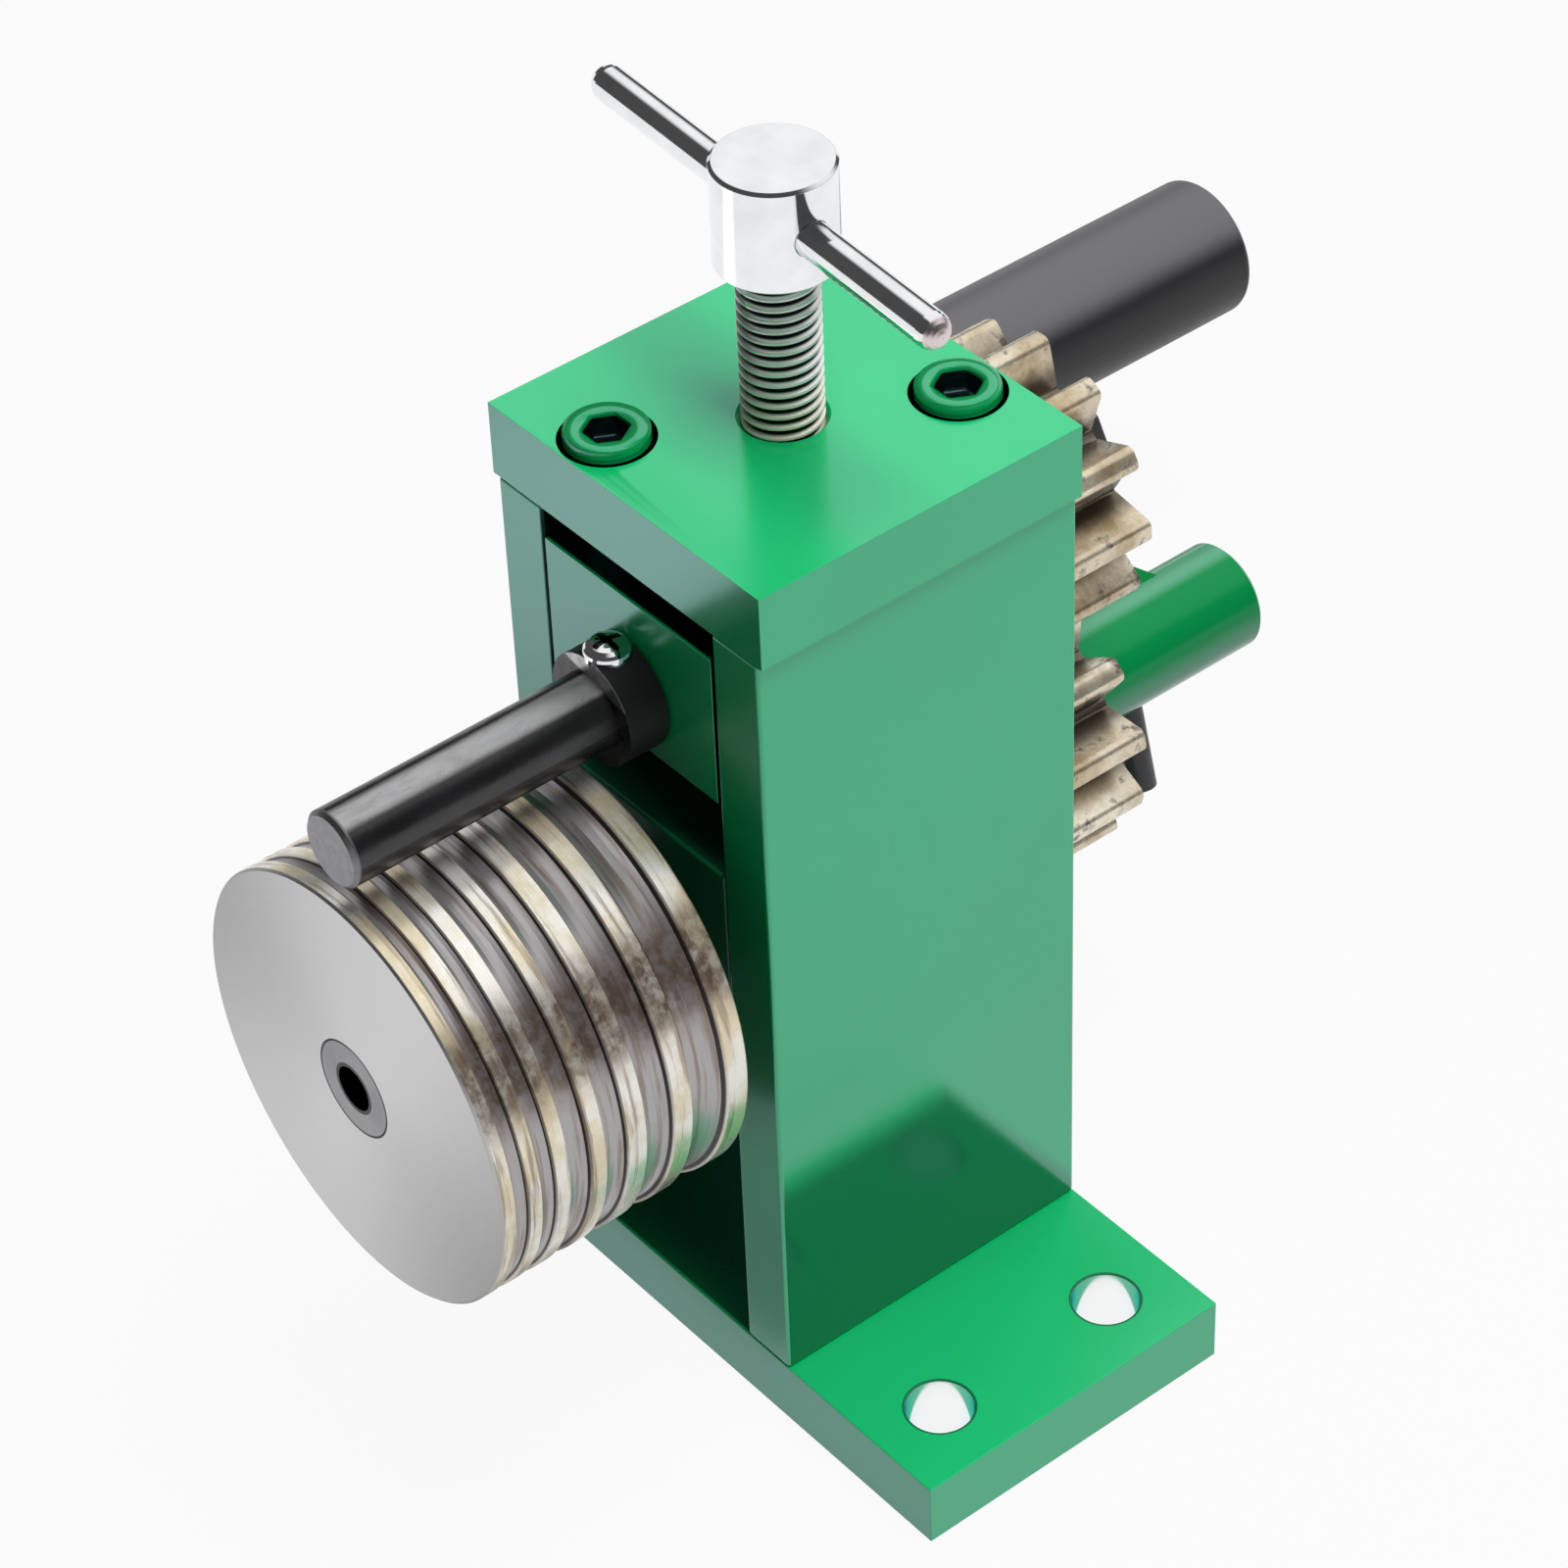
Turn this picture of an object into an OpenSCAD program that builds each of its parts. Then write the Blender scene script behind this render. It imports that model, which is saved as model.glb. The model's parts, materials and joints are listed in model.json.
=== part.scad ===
// Jewellers rolling mill: a bench frame with a grooved lower roller,
// a plain upper rod, a pressure screw on top and a crank at the back.
// X runs left to right across the front, Y front to back, Z up.
// The origin is the middle of the four bench holes on the underside of the base.
// All lengths are in millimetres and all angles in degrees.

/* [Base plate] */
// Length of the base plate across the front
base_len = 103; // [98:0.5:125]
// Depth of the base plate, the columns and the top plate
frame_depth = 48.5; // [46:0.5:56]
// Thickness of the base plate
base_thick = 9.5; // [7:0.5:14]
// Distance from the ends of the base plate to the bench holes
bench_inset_x = 9.9; // [8:0.1:11]
// Distance from the front and back of the base plate to the bench holes
bench_inset_y = 10.15; // [8:0.05:12]
// Diameter of the bench holes
bench_hole_dia = 8.8; // [6.5:0.1:10.5]

/* [Frame] */
// Width of the top plate
top_len = 50; // [48:0.5:56]
// Thickness of the top plate
top_thick = 10.25; // [9.5:0.25:13]
// Thickness of each column
column_thick = 8.3; // [7:0.1:8.8]
// How far the top plate stands out past each column
column_inset = 0.85; // [0.3:0.05:1.2]
// Free height between the sliding block and the top plate
block_headroom = 4.3; // [3:0.1:8]

/* [Bearing blocks] */
// Height of the roller axis above the base plate
roller_axis_height = 60.3; // [58:0.1:62]
// Height of the fixed lower block
lower_block_height = 35.4; // [30:0.2:37]
// Distance between the two shafts as the mill is set
shaft_spacing = 37; // [36.2:0.1:38]
// Height of the sliding upper block
upper_block_height = 21.4; // [20:0.2:23]
// Height of the upper shaft axis above the underside of its block
upper_axis_rise = 8; // [7.6:0.1:8.8]
// Gap between the sliding block and each column
slide_gap = 0.35; // [0.25:0.05:0.5]
// Length of each bushing
bushing_len = 10; // [7:0.5:14]
// Wall thickness of each bushing
bushing_wall = 1.5; // [1.2:0.1:1.8]
// Radial clearance of everything that turns or slides in a bore
running_fit = 0.05; // [0.03:0.01:0.08]
// Clearance between parts that are mounted together
mounting_fit = 0.02; // [0.01:0.01:0.04]
// End gap between turning parts and what they run beside
end_gap = 0.3; // [0.2:0.05:0.5]

/* [Hanger screws] */
// Distance between the two hanger screws across the front
hanger_pitch_x = 20.6; // [19.6:0.2:21.4]
// Wall left between a counterbore and the edge of the top plate
hanger_wall = 0.3; // [0.2:0.05:1]
// Diameter of a hanger screw
hanger_dia = 6; // [5:0.5:6]
// Diameter of its head
hanger_head_dia = 10.5; // [9:0.1:11]
// Height of its head
hanger_head_height = 6; // [5:0.25:6.5]
// How far the head stands proud of the top plate
hanger_proud = 1.35; // [1:0.05:2]
// Depth of the hanger screw in the sliding block
hanger_bite = 10; // [8:0.5:12]
// Diameter of the counterbore around the head
counterbore_dia = 11.9; // [11.6:0.1:12.6]
// Depth of the counterbore
counterbore_depth = 7.7; // [7.7:0.05:8]
// Size of the hexagon socket across its flats
socket_flats = 5; // [4:0.5:5]
// Depth of the hexagon socket
socket_depth = 3; // [2:0.25:3.5]

/* [Pressure screw] */
// Diameter of the pressure screw
press_dia = 10; // [8:0.5:10.5]
// Length of screw that shows above the top plate
press_shown = 21.8; // [20:0.1:30]
// Diameter of the tip that turns in the sliding block
press_tip_dia = 7; // [5:0.5:7.5]
// Depth of the tip in the sliding block
press_tip_depth = 4; // [3:0.25:4.5]
// Diameter of the screw's head
press_head_dia = 14.9; // [13:0.1:17]
// Height of the screw's head
press_head_height = 13.75; // [12:0.25:16]
// Width of the countersink around the screw in the top plate
countersink_width = 0.6; // [0.3:0.1:0.9]
// Width of the chamfers on the screw's head
head_chamfer = 0.4; // [0.2:0.1:1.2]

/* [Tommy bar] */
// Diameter of the bar
bar_dia = 4.6; // [3:0.1:5]
// Height of the bar above the underside of the screw's head
bar_rise = 6.7; // [5.5:0.1:7]
// Length of the bar to the left of the screw
bar_left = 35.4; // [30:0.1:44]
// Length of the bar to the right of the screw
bar_right = 31.6; // [30:0.1:44]
// Turn of the bar seen from above
bar_turn = -4; // [-30:1:30]

/* [Grooved roller] */
// Diameter of the roller
roller_dia = 58; // [54:0.5:60]
// Length of the roller
roller_len = 36.7; // [32:0.1:42]
// Distance from the frame to the front of the roller
roller_reach = 44.4; // [44:0.1:50]
// Depth that every groove has at least
groove_depth = 0.55; // [0.3:0.05:0.9]
// Chamfer on the rims of the roller
rim_chamfer = 0.3; // [0.1:0.05:0.5]

/* [Roller shaft] */
// Diameter of the shaft in the roller and the bushings
roller_shaft_dia = 12.76; // [11:0.02:13]
// Diameter of the hole in the shaft's front end
centre_hole_dia = 6; // [4:0.1:6.4]
// Depth of the hole in the shaft's front end
centre_hole_depth = 16; // [8:0.5:20]
// Diameter of the spacer behind the roller
spacer_dia = 19; // [17:0.5:24]
// Diameter of the bushing flanges
flange_dia = 19; // [18:0.5:22]
// Thickness of the bushing flanges
flange_thick = 1; // [0.8:0.1:1.5]
// Diameter of the seat for the lower gear
gear_seat_dia = 11.6; // [10:0.1:12]
// Diameter of the seat for the crank hub
hub_seat_dia = 9; // [8:0.1:9.5]

/* [Upper shaft] */
// Diameter of the upper shaft
rod_dia = 10; // [9:0.1:10.4]
// Distance from the frame to the front end of the upper shaft
rod_reach = 43.75; // [38:0.05:50]
// Length of the bare shaft behind the nut
rod_tail = 1.2; // [0.6:0.1:3]
// Chamfer on the ends of the shafts
shaft_chamfer = 0.5; // [0.3:0.1:0.8]
// Diameter of the shaft collar
collar_dia = 14.8; // [14:0.1:16]
// Length of the shaft collar
collar_len = 5.75; // [5:0.05:7.5]
// Diameter of the collar screw's head
collar_screw_head_dia = 5.9; // [5:0.1:6.2]
// Height of the collar screw's head
collar_screw_head_height = 2.3; // [1.8:0.1:2.8]
// Diameter of the collar screw
collar_screw_dia = 3.4; // [2.5:0.1:3.6]
// Depth of the flat that seats the head in the collar
collar_flat = 0.6; // [0.5:0.05:0.8]
// Depth of the dimple that the collar screw finds in the shaft
dimple_depth = 0.8; // [0.5:0.1:1.2]
// Size of the end nut across its flats
nut_flats = 15; // [14:0.5:17]
// Thickness of the end nut
nut_thick = 5; // [4:0.5:6]

/* [Gears] */
// Number of teeth of each gear
gear_teeth = 12; // [12]
// Diameter of the pitch circle
pitch_dia = 33; // [32.9:0.05:33.1]
// Length of the teeth
gear_face = 14.45; // [12:0.05:15]
// Distance from the frame to the gears
gear_gap = 2; // [1.9:0.05:2.4]
// Height of the teeth above the pitch circle
tooth_above = 3; // [2.7:0.05:3.1]
// Height of the teeth below the pitch circle
tooth_below = 3.4; // [3.2:0.05:3.6]
// Width of a tooth at its tip
tooth_tip_width = 2.9; // [2.7:0.05:3.1]
// Width of a tooth at its root
tooth_root_width = 5.4; // [5.1:0.05:5.7]
// Radius of the rounded corners of a tooth
tooth_tip_round = 1.1; // [0.8:0.05:1.3]
// Radius of the fillets between the teeth
tooth_root_round = 0.5; // [0.3:0.05:0.6]
// Turn of the lower gear as the mill is set
mesh_turn = 13; // [0:1:29]

/* [Keys] */
// Width and height of the keys
key_size = 3; // [2.5:0.1:3.2]
// Length of the roller key
roller_key_len = 20; // [14:0.5:22]
// Length of the gear keys
gear_key_len = 11; // [8:0.5:11.5]

/* [Crank] */
// Diameter of the crank hub
hub_dia = 14.8; // [13.5:0.1:16]
// Length of the crank hub
hub_len = 31.5; // [29:0.1:36]
// Width of the crank arm
arm_width = 15; // [12:0.5:17]
// Thickness of the crank arm
arm_thick = 6; // [5:0.25:8]
// Distance from the gear to the crank arm
arm_back = 15.3; // [14.8:0.1:17]
// Distance from the crank's axis to the grip's axis
crank_throw = 86.5; // [75:0.5:110]
// Slope of the crank arm below the level
crank_slope = 15; // [0:1:40]
// Diameter of the clamp bolt
clamp_dia = 4; // [3.5:0.1:4.4]
// How far the clamp bolt stands out of the hub
clamp_proud = 12.3; // [8:0.1:15]
// Distance from the gear to the clamp bolt
clamp_back = 12.5; // [11.5:0.1:12.6]
// Depth of the clamp bolt in the shaft
clamp_bite = 2.2; // [1.5:0.1:3]

/* [Grip] */
// Diameter of the grip
grip_dia = 21.4; // [20:0.1:26]
// Length of the grip
grip_len = 84; // [70:0.5:100]
// Edge rounding of the grip
grip_round = 1.2; // [0.6:0.1:2]
// Diameter of the spindle in the grip
spindle_dia = 8; // [6:0.1:9]
// Diameter of the spindle's shoulder beside the arm
shoulder_dia = 13; // [12:0.1:15]
// Thickness of the spindle's shoulder
shoulder_thick = 1; // [0.8:0.1:1.5]
// Diameter of the spindle's head
spindle_head_dia = 13; // [12:0.1:15]
// Thickness of the spindle's head
spindle_head_thick = 3.5; // [3:0.1:5]
// Depth of the spindle's head below the end of the grip
spindle_head_sunk = 1; // [0.6:0.1:1.6]

/* [Lift springs] */
// Distance between the two lift springs
spring_pitch = 22; // [21.4:0.1:22.4]
// Outer diameter of a spring
spring_dia = 6; // [5:0.1:6.2]
// Thickness of the spring wire
spring_wire = 0.9; // [0.7:0.05:1.1]
// Number of free turns of a spring
spring_turns = 5; // [4:0.5:6]
// Depth of the spring pockets in the blocks
spring_pocket = 2; // [1.5:0.1:2.5]

/* [Hidden] */
$fn = 96;
// Overrun of every cutting tool
over = 1;
// Heights of the frame
base_top = base_thick;
column_height = roller_axis_height + shaft_spacing - upper_axis_rise + upper_block_height + block_headroom;
top_under = base_top + column_height;
top_face = top_under + top_thick;
front = -frame_depth / 2;
back = frame_depth / 2;
bench_x = base_len / 2 - bench_inset_x;
bench_y = frame_depth / 2 - bench_inset_y;
// Window between the columns
column_out = top_len / 2 - column_inset;
window_half = column_out - column_thick;
// Lower shaft
roller_z = base_top + roller_axis_height;
roller_shaft_r = roller_shaft_dia / 2;
lower_block_z = roller_z - lower_block_height / 2;
lower_bushing_r = roller_shaft_r + running_fit + bushing_wall;
// Sliding block and upper shaft
rod_z = roller_z + shaft_spacing;
rod_r = rod_dia / 2;
upper_block_z = rod_z - upper_axis_rise;
upper_block_top = upper_block_z + upper_block_height;
slide_half = window_half - slide_gap;
upper_bushing_r = rod_r + running_fit + bushing_wall;
collar_seat = rod_z + collar_dia / 2 - collar_flat;
brim_share = 0.35;
// Hanger screws
hanger_pitch_y = frame_depth - counterbore_dia - 2 * hanger_wall;
hanger_head_z = top_face + hanger_proud - hanger_head_height;
hanger_len = hanger_head_z - upper_block_top + hanger_bite;
hanger_hole_r = hanger_dia / 2 + end_gap;
hanger_room = 1.5 * end_gap;
// Pressure screw
press_r = press_dia / 2;
press_head_z = top_face + press_shown;
bar_z = press_head_z + bar_rise;
bar_r = bar_dia / 2;
// Grooved roller: shares of its length, front to back, and of the groove widths
ridge_shares = [2, 1.7, 1.9, 2, 2.55, 2.5, 3.05];
groove_shares = [2.1, 2.3, 3.3, 3.4, 4.35, 5.6];
depth_share = 0.11;
wall_share = 0.1;
roller_r = roller_dia / 2;
roller_front = front - roller_reach;
roller_back = roller_front + roller_len;
spacer_back = front - flange_thick - end_gap;
// Gears
gear_front = back + gear_gap;
gear_back = gear_front + gear_face;
tooth_step = 360 / gear_teeth;
root_r = pitch_dia / 2 - tooth_below;
tip_r = pitch_dia / 2 + tooth_above;
lower_turn = mesh_turn;
upper_turn = tooth_step / 2 - mesh_turn;
washer_r = rod_r + 2 * bushing_wall;
// Crank
hub_r = hub_dia / 2;
hub_back = gear_back + hub_len;
arm_front = gear_back + arm_back;
arm_rear = arm_front + arm_thick;
clamp_y = gear_back + clamp_back;
clamp_r = clamp_dia / 2;
hub_seat_r = hub_seat_dia / 2;
shaft_end = hub_back - 2 * shaft_chamfer;
// Grip
grip_front = arm_rear + shoulder_thick + end_gap;
grip_back = grip_front + grip_len;
grip_r = grip_dia / 2;
spindle_r = spindle_dia / 2;
head_back = grip_back - spindle_head_sunk;
head_front = head_back - spindle_head_thick;
head_room_r = spindle_head_dia / 2 + end_gap;
// Springs
spring_z = roller_z + lower_block_height / 2 - spring_pocket;
spring_top = upper_block_z + spring_pocket;
spring_free = spring_top - spring_z - 2 * spring_wire;
spring_mid_r = (spring_dia - spring_wire) / 2;
// Colours
paint = "mediumseagreen";
steel = "silver";
bronze = "peru";
dark_steel = "dimgray";
chrome = "whitesmoke";
black = "#333338";

// Sum of a list
function total(list, i = 0) = i < len(list) ? list[i] + total(list, i + 1) : 0;

// Cylinder along Y from y0 to y1 round the point x, z
module lengthwise(y0, y1, r, x = 0, z = 0) {
  translate([x, y1, z])
    rotate([90, 0, 0])
      cylinder(r = r, h = y1 - y0);
}

// Cylinder along Y with a chamfer c at each end
module chamfered_lengthwise(y0, y1, r, c, x = 0, z = 0) {
  translate([x, y1, z])
    rotate([90, 0, 0])
      rotate_extrude()
        polygon([[0, 0], [r - c, 0], [r, c], [r, y1 - y0 - c], [r - c, y1 - y0], [0, y1 - y0]]);
}

// Upright cylinder from z0 to z1 round the point x, y
module upright(z0, z1, r, x = 0, y = 0) {
  translate([x, y, z0])
    cylinder(r = r, h = z1 - z0);
}

// Box given by its lowest and highest corner
module box(low, high) {
  translate(low)
    cube(high - low);
}

// Hexagon prism along Z, measured across its flats
module hexagon(flats, h) {
  cylinder(d = flats / cos(30), h = h, $fn = 6);
}

// Welded frame

module base_plate() {
  color(paint)
    difference() {
      box([-base_len / 2, front, 0], [base_len / 2, back, base_thick]);
      for (sx = [-1, 1], sy = [-1, 1])
        upright(-over, base_thick + over, bench_hole_dia / 2, sx * bench_x, sy * bench_y);
    }
}

module column(side) {
  inner = side * window_half;
  outer = side * column_out;
  color(paint)
    box([min(inner, outer), front, base_top], [max(inner, outer), back, top_under]);
}

module left_column() {
  column(-1);
}

module right_column() {
  column(1);
}

module top_plate() {
  color(paint)
    difference() {
      box([-top_len / 2, front, top_under], [top_len / 2, back, top_face]);
      upright(top_under - over, top_face + over, press_r + running_fit);
      translate([0, 0, top_face - countersink_width])
        cylinder(r1 = press_r + running_fit, r2 = press_r + countersink_width, h = countersink_width);
      for (s = [-1, 1]) {
        x = s * hanger_pitch_x / 2;
        y = s * hanger_pitch_y / 2;
        upright(top_under - over, top_face, hanger_hole_r, x, y);
        upright(top_face - counterbore_depth, top_face + over, counterbore_dia / 2, x, y);
      }
    }
}

module lower_block() {
  color(paint)
    difference() {
      box([-window_half, front, lower_block_z], [window_half, back, lower_block_z + lower_block_height]);
      lengthwise(front - over, back + over, lower_bushing_r + mounting_fit, 0, roller_z);
      for (side = [-1, 1])
        upright(spring_z, spring_top, spring_dia / 2 + end_gap, side * spring_pitch / 2);
    }
}

// Flanged bushing pressed into one face of the lower block
module lower_bushing(y0, y1, flange_y) {
  color(bronze)
    difference() {
      union() {
        lengthwise(y0, y1, lower_bushing_r, 0, roller_z);
        lengthwise(flange_y, flange_y + flange_thick, flange_dia / 2, 0, roller_z);
      }
      lengthwise(front - flange_thick - over, back + flange_thick + over, roller_shaft_r + running_fit, 0, roller_z);
    }
}

module lower_front_bushing() {
  lower_bushing(front - flange_thick, front + bushing_len, front - flange_thick);
}

module lower_rear_bushing() {
  lower_bushing(back - bushing_len, back + flange_thick, back);
}

// Sliding block

module upper_block() {
  color(paint)
    difference() {
      box([-slide_half, front, upper_block_z], [slide_half, back, upper_block_top]);
      lengthwise(front - over, back + over, upper_bushing_r + mounting_fit, 0, rod_z);
      upright(upper_block_top - press_tip_depth, upper_block_top + over, press_tip_dia / 2 + running_fit);
      for (s = [-1, 1])
        upright(upper_block_top - hanger_bite - hanger_room, upper_block_top + over,
              hanger_dia / 2 + mounting_fit, s * hanger_pitch_x / 2, s * hanger_pitch_y / 2);
      for (side = [-1, 1])
        upright(spring_z, spring_top, spring_dia / 2 + end_gap, side * spring_pitch / 2);
    }
}

// Plain bushing pressed into the sliding block
module upper_bushing(y0) {
  color(bronze)
    difference() {
      lengthwise(y0, y0 + bushing_len, upper_bushing_r, 0, rod_z);
      lengthwise(y0 - over, y0 + bushing_len + over, rod_r + running_fit, 0, rod_z);
    }
}

module upper_front_bushing() {
  upper_bushing(front);
}

module upper_rear_bushing() {
  upper_bushing(back - bushing_len);
}

// Socket cap screw that hangs the sliding block in the top plate
module hanger_screw(s) {
  color(paint)
    translate([s * hanger_pitch_x / 2, s * hanger_pitch_y / 2, hanger_head_z])
      difference() {
        union() {
          cylinder(d = hanger_head_dia, h = hanger_head_height);
          translate([0, 0, -hanger_len])
            cylinder(d = hanger_dia, h = hanger_len + half_head());
        }
        translate([0, 0, hanger_head_height - socket_depth])
          hexagon(socket_flats, socket_depth + over);
      }
}

function half_head() = hanger_head_height / 3;

module front_hanger_screw() {
  hanger_screw(-1);
}

module rear_hanger_screw() {
  hanger_screw(1);
}

// Lift springs

// Flat slice of a round wire that climbs one pitch per turn at the radius r
function wire_slice(r, wire, pitch, steps = 8) =
  let (reach = wire / pitch * 180)
    [for (side = [1, -1], i = [0:steps - 1])
      let (a = side * reach * (1 - 2 * i / steps),
           rise = a / 180 * pitch,
           swell = sqrt(max(0, wire * wire - rise * rise)) / 2)
        (r + side * swell) * [cos(a), sin(a)]];

module lift_spring(side) {
  pitch = spring_free / spring_turns;
  color(steel)
    translate([side * spring_pitch / 2, 0, spring_z]) {
      translate([0, 0, spring_wire / 2])
        linear_extrude(height = spring_free + spring_wire, twist = -360 * (spring_turns + spring_wire / pitch),
                       slices = 18 * spring_turns, $fn = 16)
          polygon(wire_slice(spring_mid_r, spring_wire, pitch));
      for (z = [0, spring_free + spring_wire])
        translate([0, 0, z])
          difference() {
            cylinder(d = spring_dia, h = spring_wire, $fn = 36);
            translate([0, 0, -over])
              cylinder(d = spring_dia - 2 * spring_wire, h = spring_wire + 2 * over, $fn = 36);
          }
    }
}

module left_lift_spring() {
  lift_spring(-1);
}

module right_lift_spring() {
  lift_spring(1);
}

// Pressure screw

module pressure_screw() {
  neck = upper_block_top + end_gap;
  color(chrome) {
    upright(upper_block_top - press_tip_depth + running_fit, neck, press_tip_dia / 2);
    upright(neck, press_head_z, press_r);
  }
}

module screw_head() {
  c = head_chamfer;
  color(chrome)
    translate([0, 0, press_head_z])
      difference() {
        rotate_extrude()
          polygon([
            [0, 0], [press_head_dia / 2 - c, 0], [press_head_dia / 2, c],
            [press_head_dia / 2, press_head_height - c], [press_head_dia / 2 - c, press_head_height],
            [0, press_head_height]
          ]);
        rotate([0, 0, bar_turn])
          translate([-press_head_dia, 0, bar_rise])
            rotate([0, 90, 0])
              cylinder(r = bar_r + running_fit, h = 2 * press_head_dia);
      }
}

module tommy_bar() {
  color(chrome)
    rotate([0, 0, bar_turn])
      translate([-bar_left, 0, bar_z])
        rotate([0, 90, 0])
          rotate_extrude()
            bar_outline(bar_left + bar_right);
}

// Half outline of a round bar with domed ends
module bar_outline(length) {
  dome = [for (a = [0:15:90]) bar_r * [sin(a), 1 - cos(a)]];
  tail = [for (a = [90:-15:0]) [bar_r * sin(a), length - bar_r * (1 - cos(a))]];
  polygon(concat(dome, tail));
}

// Gears

// Corner of a tooth: arc round the centre c from angle a0 to angle a1
function arc(c, r, a0, a1, steps = 4) =
  [for (i = [0:steps]) c + r * [cos(a0 + (a1 - a0) * i / steps), sin(a0 + (a1 - a0) * i / steps)]];

// Upper half of one tooth along X: root fillet, straight flank, rounded tip
function half_tooth() =
  let (
    foot = [root_r, tooth_root_width / 2],
    shoulder = [tip_r, tooth_tip_width / 2],
    lean = atan2(foot.y - shoulder.y, shoulder.x - foot.x),
    along = [cos(lean), -sin(lean)],
    out = [sin(lean), cos(lean)],
    f = tooth_root_round,
    base = foot + f * out,
    b = base * along,
    slide = -b + sqrt(b * b - base * base + pow(root_r + f, 2)),
    nest = base + slide * along,
    r = tooth_tip_round,
    drop = r * tan((90 - lean) / 2),
    peak = shoulder - [r, 0] - [0, drop]
  )
    concat(
      arc(nest, f, atan2(nest.y, nest.x) - 180, lean - 90),
      arc(peak, r, 90 - lean, 0)
    );

module tooth() {
  side = half_tooth();
  lower = [for (i = [len(side) - 1:-1:0]) [side[i].x, -side[i].y]];
  polygon(concat([[root_r / 2, 0]], [[root_r / 2, side[0].y]], side, lower, [[root_r / 2, -side[0].y]]));
}

// Gear with straight flanked long teeth, its bore and its keyway
module gear(z, turn, bore_r) {
  color(steel)
    difference() {
      union() {
        lengthwise(gear_front, gear_back, root_r, 0, z);
        translate([0, gear_back, z])
          rotate([90, 0, 0])
            for (i = [0:gear_teeth - 1])
              rotate([0, 0, turn + i * tooth_step])
                linear_extrude(height = gear_face)
                  tooth();
      }
      lengthwise(gear_front - over, gear_back + over, bore_r + mounting_fit, 0, z);
      box([-key_size / 2 - mounting_fit, gear_front - over, z],
          [key_size / 2 + mounting_fit, gear_back + over, z + bore_r + key_size / 2 + mounting_fit]);
    }
}

// Key that lies half in a shaft of radius r and half in what it carries
module key(z, r, y0, length) {
  color(dark_steel)
    box([-key_size / 2, y0, z + r - key_size / 2], [key_size / 2, y0 + length, z + r + key_size / 2]);
}

// Slot for a key in a shaft of radius r
module key_slot(z, r, y0, length) {
  box([-key_size / 2 - mounting_fit, y0 - mounting_fit, z + r - key_size / 2 - mounting_fit],
      [key_size / 2 + mounting_fit, y0 + length + mounting_fit, z + r + key_size]);
}

// Thrust washer between the frame and a gear
module washer(z, y0, r, bore_r) {
  color(bronze)
    difference() {
      lengthwise(y0, gear_front, r, 0, z);
      lengthwise(y0 - over, gear_front + over, bore_r + mounting_fit, 0, z);
    }
}

// Upper shaft

gear_key_y = gear_front + (gear_face - gear_key_len) / 2;

module upper_shaft() {
  color(dark_steel)
    difference() {
      chamfered_lengthwise(front - rod_reach, gear_back + nut_thick + rod_tail, rod_r, shaft_chamfer, 0, rod_z);
      key_slot(rod_z, rod_r, gear_key_y, gear_key_len);
      translate([0, collar_y(), rod_z + rod_r - dimple_depth - mounting_fit])
        cylinder(r = collar_screw_dia / 2 + mounting_fit, h = rod_r);
    }
}

function collar_y() = front - end_gap - collar_len / 2;

module shaft_collar() {
  color(dark_steel)
    difference() {
      lengthwise(collar_y() - collar_len / 2, collar_y() + collar_len / 2, collar_dia / 2, 0, rod_z);
      lengthwise(collar_y() - collar_len, collar_y() + collar_len, rod_r + mounting_fit, 0, rod_z);
      translate([0, collar_y(), rod_z])
        cylinder(r = collar_screw_dia / 2 + mounting_fit, h = collar_dia);
      translate([0, collar_y(), collar_seat])
        cylinder(r = collar_screw_head_dia / 2 + mounting_fit, h = collar_dia);
    }
}

// Pan head screw that locks the collar on the shaft
module collar_screw() {
  tip = rod_z + rod_r - dimple_depth;
  head_r = collar_screw_head_dia / 2;
  brim = brim_share * collar_screw_head_height;
  dome = collar_screw_head_height - brim;
  color(chrome)
    translate([0, collar_y(), 0]) {
      upright(tip, collar_seat, collar_screw_dia / 2);
      translate([0, 0, collar_seat])
        rotate_extrude()
          polygon(concat([[0, 0], [head_r, 0]],
                         [for (a = [0:15:90]) [head_r * cos(a), brim + dome * sin(a)]]));
    }
}

module upper_thrust_washer() {
  washer(rod_z, back + end_gap, washer_r, rod_r);
}

module upper_gear() {
  gear(rod_z, upper_turn, rod_r);
}

module upper_gear_key() {
  key(rod_z, rod_r, gear_key_y, gear_key_len);
}

module upper_shaft_nut() {
  color(steel)
    difference() {
      translate([0, gear_back + nut_thick, rod_z])
        rotate([90, 0, 0])
          hexagon(nut_flats, nut_thick);
      lengthwise(gear_back - over, gear_back + nut_thick + over, rod_r + mounting_fit, 0, rod_z);
    }
}

// Lower shaft

roller_key_y = roller_back - roller_key_len;

module roller_shaft() {
  seat_r = gear_seat_dia / 2;
  color(steel)
    difference() {
      union() {
        lengthwise(roller_front, gear_front, roller_shaft_r, 0, roller_z);
        lengthwise(gear_front, gear_back, seat_r, 0, roller_z);
        chamfered_lengthwise(gear_back - shaft_chamfer, shaft_end, hub_seat_r, shaft_chamfer, 0, roller_z);
      }
      lengthwise(roller_front - over, roller_front + centre_hole_depth, centre_hole_dia / 2, 0, roller_z);
      key_slot(roller_z, roller_shaft_r, roller_key_y, roller_key_len);
      key_slot(roller_z, seat_r, gear_key_y, gear_key_len);
      clamp_direction()
        translate([0, 0, hub_seat_r - clamp_bite - mounting_fit])
          cylinder(r = clamp_r + mounting_fit, h = hub_r);
    }
}

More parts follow.
